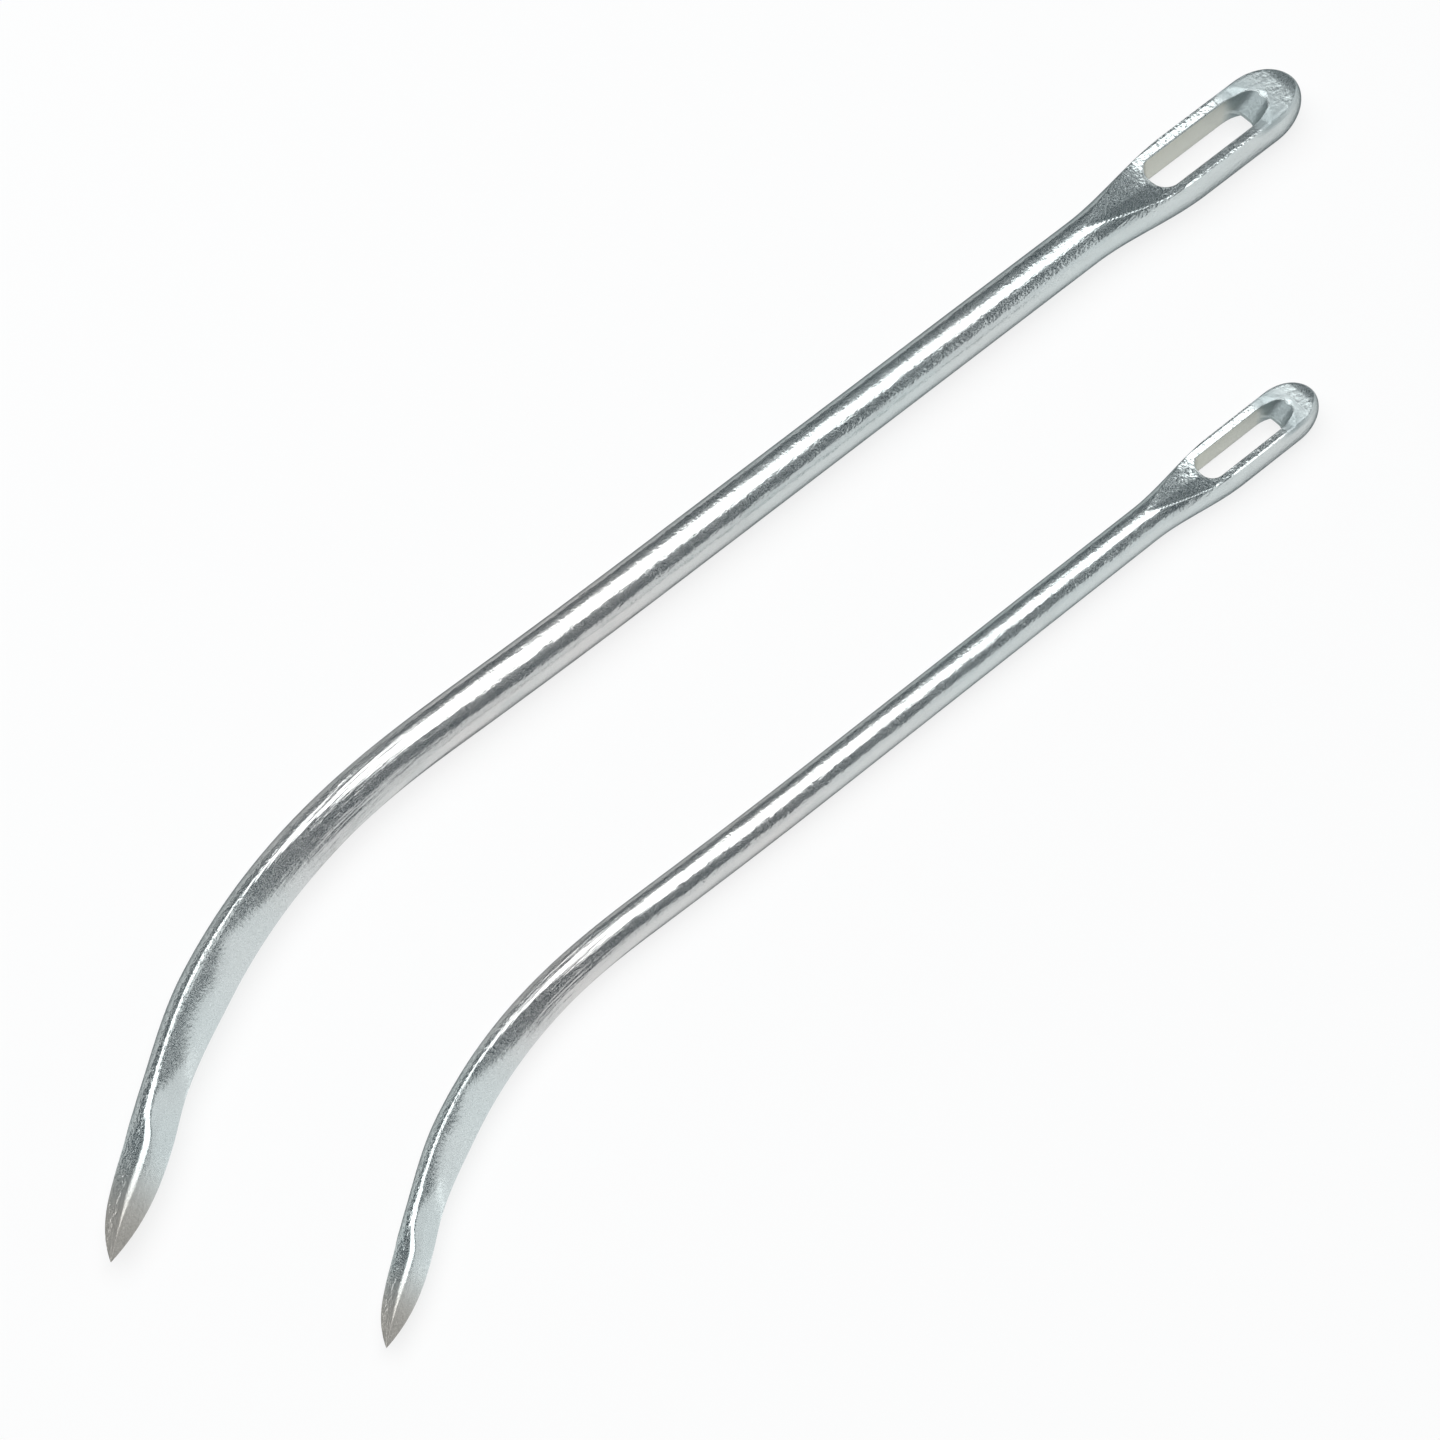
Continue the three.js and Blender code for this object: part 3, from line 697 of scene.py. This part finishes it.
class LargeNeedleSizes(bpy.types.PropertyGroup):
    """Sizes of the large needle."""

    __annotations__ = size_properties("large")


class SmallNeedleSizes(bpy.types.PropertyGroup):
    """Sizes of the small needle."""

    __annotations__ = size_properties("small")


class NeedleFinish(bpy.types.PropertyGroup):
    """Colours and relief of the needles' surface."""

    plating: colour_property("Plating", "Colour of the plating", (0.64, 0.7, 0.7))
    plating_tint: colour_property(
        "Plating tint", "Colour that the plating drifts to along the wire", (0.71, 0.7, 0.69)
    )
    plating_dull: colour_property("Plating dull", "Colour of its dull spots", (0.52, 0.56, 0.56))
    # Painted light on the eye's long walls, and painted shade on its end wall and on the faces
    # behind it.
    walls_painted_light: colour_property("Walls painted light", "Colour of the eye's long walls", (0.88, 0.89, 0.82))
    end_painted_shade: colour_property("End painted shade", "Colour of its end and behind it", (0.46, 0.53, 0.54))
    bare: colour_property("Bare steel", "Colour of the ground lance", (0.62, 0.6, 0.56))
    bare_dark: colour_property("Bare steel dark", "Colour of its scratches", (0.46, 0.44, 0.41))
    ripple: FloatProperty(
        name="Ripple",
        description="Height of the ripple left by drawing and plating",
        default=0.03 * MM,
        min=0.0,
        precision=6,
        unit="LENGTH",
    )


class NeedleSettings(bpy.types.PropertyGroup):
    """What a user would change."""

    large: PointerProperty(type=LargeNeedleSizes)
    small: PointerProperty(type=SmallNeedleSizes)
    finish: PointerProperty(type=NeedleFinish)
    points: IntProperty(
        name="Points", description="Points round the wire, in fours", default=144, min=16
    )
    rings: IntProperty(name="Rings", description="Sections along the wire", default=500, min=60)
    ring_crowding: FloatProperty(
        name="Ring crowding",
        description="How much closer the sections lie at the tip and the head",
        default=0.92,
        min=0.0,
        max=0.99,
        subtype="FACTOR",
    )
    point_crowding: FloatProperty(
        name="Point crowding",
        description="How much closer the points lie at the shoulders of the head",
        default=0.55,
        min=0.0,
        max=0.9,
        subtype="FACTOR",
    )
    axis_steps: IntProperty(
        name="Axis steps", description="Steps that follow the bend", default=800, min=50
    )
    table: colour_property("Table", "Colour of the table", (0.9, 0.9, 0.9))


class NEEDLES_OT_draw_needle(bpy.types.Operator):
    """Draws one needle from tip to head and sets it on its solid"""

    bl_idname = "needles.draw_needle"
    bl_label = "Draw needle"

    needle: EnumProperty(
        name="Needle",
        description="Which needle to draw",
        items=[(name, name.title(), f"The {name} needle") for name in NEEDLES],
    )

    def execute(self, context):
        settings = context.scene.needles
        sizes = getattr(settings, self.needle)
        found = frame_sizes(self.needle)
        tree = bpy.data.node_groups.get(TREE_NAME) or needle_tree()
        found.steel = bpy.data.materials.get(STEEL_NAME) or bright_plated_wire(settings.finish)
        piece = bpy.data.objects.new(f"{self.needle}_needle", bpy.data.meshes.new("blank"))
        context.scene.collection.objects.link(piece)
        modifier = piece.modifiers.new("Needle", "NODES")
        modifier.node_group = tree
        sources = (found, sizes, settings)
        for item in tree.interface.items_tree:
            if item.in_out == "INPUT":
                source = next(source for source in sources if hasattr(source, item.name))
                modifier[item.identifier] = getattr(source, item.name)
        plain_mesh(context, piece)
        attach(piece, f"{self.needle}_needle")
        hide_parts(*frame["record"]["behaviour"]["bodies"][f"{self.needle}_needle"])
        return {"FINISHED"}


def plain_mesh(context, piece):
    """Turns what a piece's modifiers make into its own mesh."""
    evaluated = piece.evaluated_get(context.evaluated_depsgraph_get())
    mesh = bpy.data.meshes.new_from_object(evaluated)
    if not mesh.polygons:
        raise RuntimeError(f"{piece.name} came out empty")
    piece.modifiers.clear()
    piece.data = mesh
    mesh.name = piece.name


class NEEDLES_OT_set_stage(bpy.types.Operator):
    """Lays the table, hangs the lights and sets the camera"""

    bl_idname = "needles.set_stage"
    bl_label = "Set stage"

    def execute(self, context):
        lay_table(context)
        hang_lights(context)
        set_world(context)
        set_camera(context)
        context.scene.view_settings.view_transform = "Standard"
        return {"FINISHED"}


def lay_table(context):
    """Lays a table that keeps its shadows and looks white to the camera and in the metal."""
    mesh = bpy.data.meshes.new("table")
    reach = TABLE_REACH
    corners = [(-reach, -reach, 0), (reach, -reach, 0), (reach, reach, 0), (-reach, reach, 0)]
    mesh.from_pydata(corners, [], [(0, 1, 2, 3)])
    table = bpy.data.objects.new("table", mesh)
    context.scene.collection.objects.link(table)
    material = bpy.data.materials.new("white_table")
    wiring = fresh_wiring(material)
    colour = opaque(context.scene.needles.table)
    lit = wiring.node("ShaderNodeBsdfDiffuse", None, {"Color": colour})
    white = wiring.node("ShaderNodeEmission", None, {"Color": WHITE, "Strength": 1.0})
    rays = ("Is Camera Ray", "Is Glossy Ray", "Is Transmission Ray")
    camera, glossy, passing = [wiring.node("ShaderNodeLightPath", None, (), ray) for ray in rays]
    seen = camera.math("MAXIMUM", glossy).math("MAXIMUM", passing)
    surface = wiring.node("ShaderNodeMixShader", None, (seen * TABLE_GLOW, lit, white))
    wiring.node("ShaderNodeOutputMaterial", None, {"Surface": surface})
    mesh.materials.append(material)
    table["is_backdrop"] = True


def hang_lights(context):
    """A large soft light overhead, and cards that stand side by side on the right."""
    down = Vector((0.0, 0.0, -1.0))
    hang_light(
        context,
        "overhead",
        Vector(OVERHEAD_PLACE),
        down,
        OVERHEAD_EXTENT,
        OVERHEAD_TURN,
        OVERHEAD_BRIGHTNESS,
    )
    for name, left, right, height, brightness in CARDS:
        left, right = Vector((*left, 0.0)), Vector((*right, 0.0))
        along = right - left
        middle = (left + right) / 2 + Vector((0.0, 0.0, height / 2))
        extent = (along.length, height)
        hang_light(context, name, middle, along.cross(-down), extent, 0.0, brightness)


def hang_light(context, name, place, facing, extent, turn, brightness):
    """Hangs one flat light, turned about the upright, that looks as bright as given."""
    light = bpy.data.lights.new(name, "AREA")
    light.shape = "RECTANGLE"
    light.size, light.size_y = extent
    light.energy = brightness * math.pi * extent[0] * extent[1]
    lamp = bpy.data.objects.new(name, light)
    lamp.location = place
    lamp.rotation_mode = "QUATERNION"
    turned = Quaternion((0.0, 0.0, 1.0), turn)
    lamp.rotation_quaternion = turned @ facing.to_track_quat("-Z", "Y")
    context.scene.collection.objects.link(lamp)


def set_world(context):
    """Surrounds the scene with a dim room that the camera sees as white."""
    world = bpy.data.worlds.new("studio")
    wiring = fresh_wiring(world)
    dim = wiring.node("ShaderNodeBackground", None, {"Color": DIM_ROOM})
    white = wiring.node("ShaderNodeBackground", None, {"Color": WHITE})
    camera = wiring.node("ShaderNodeLightPath", None, (), "Is Camera Ray")
    surface = wiring.node("ShaderNodeMixShader", None, (camera, dim, white))
    wiring.node("ShaderNodeOutputWorld", None, {"Surface": surface})
    context.scene.world = world


def set_camera(context):
    """Sets the camera where the outlines of both needles fit the photograph."""
    back = Vector((
        math.sin(CAMERA_AZIMUTH) * math.cos(CAMERA_ELEVATION),
        -math.cos(CAMERA_AZIMUTH) * math.cos(CAMERA_ELEVATION),
        math.sin(CAMERA_ELEVATION),
    ))
    data = bpy.data.cameras.new("camera")
    data.lens = CAMERA_LENS
    data.sensor_width = CAMERA_SENSOR
    data.clip_start = CAMERA_CLIP_START
    camera = bpy.data.objects.new("camera", data)
    camera.location = Vector(CAMERA_AIM) + back * CAMERA_DISTANCE
    camera.rotation_mode = "QUATERNION"
    camera.rotation_quaternion = (-back).to_track_quat("-Z", "Y")
    context.scene.collection.objects.link(camera)
    context.scene.camera = camera


class NEEDLES_PT_sidebar(bpy.types.Panel):
    """Lists the steps"""

    bl_label = "Sack needles"
    bl_space_type = "VIEW_3D"
    bl_region_type = "UI"
    bl_category = "Needles"

    def draw(self, context):
        for needle in NEEDLES:
            row = self.layout.operator("needles.draw_needle", text=f"Draw {needle} needle")
            row.needle = needle
        self.layout.operator("needles.set_stage")


CLASSES = (
    LargeNeedleSizes,
    SmallNeedleSizes,
    NeedleFinish,
    NeedleSettings,
    NEEDLES_OT_draw_needle,
    NEEDLES_OT_set_stage,
    NEEDLES_PT_sidebar,
)


def register():
    for cls in CLASSES:
        bpy.utils.register_class(cls)
    bpy.types.Scene.needles = PointerProperty(type=NeedleSettings)


def unregister():
    del bpy.types.Scene.needles
    for cls in reversed(CLASSES):
        bpy.utils.unregister_class(cls)


def main():
    register()
    for needle in NEEDLES:
        bpy.ops.needles.draw_needle(needle=needle)
    bpy.ops.needles.set_stage()
    boxes = {"cad": CAD_BOX, "visual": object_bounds()}
    {name: [list(corner) for corner in box] for name, box in boxes.items()}


if __name__ == "__main__":
    main()
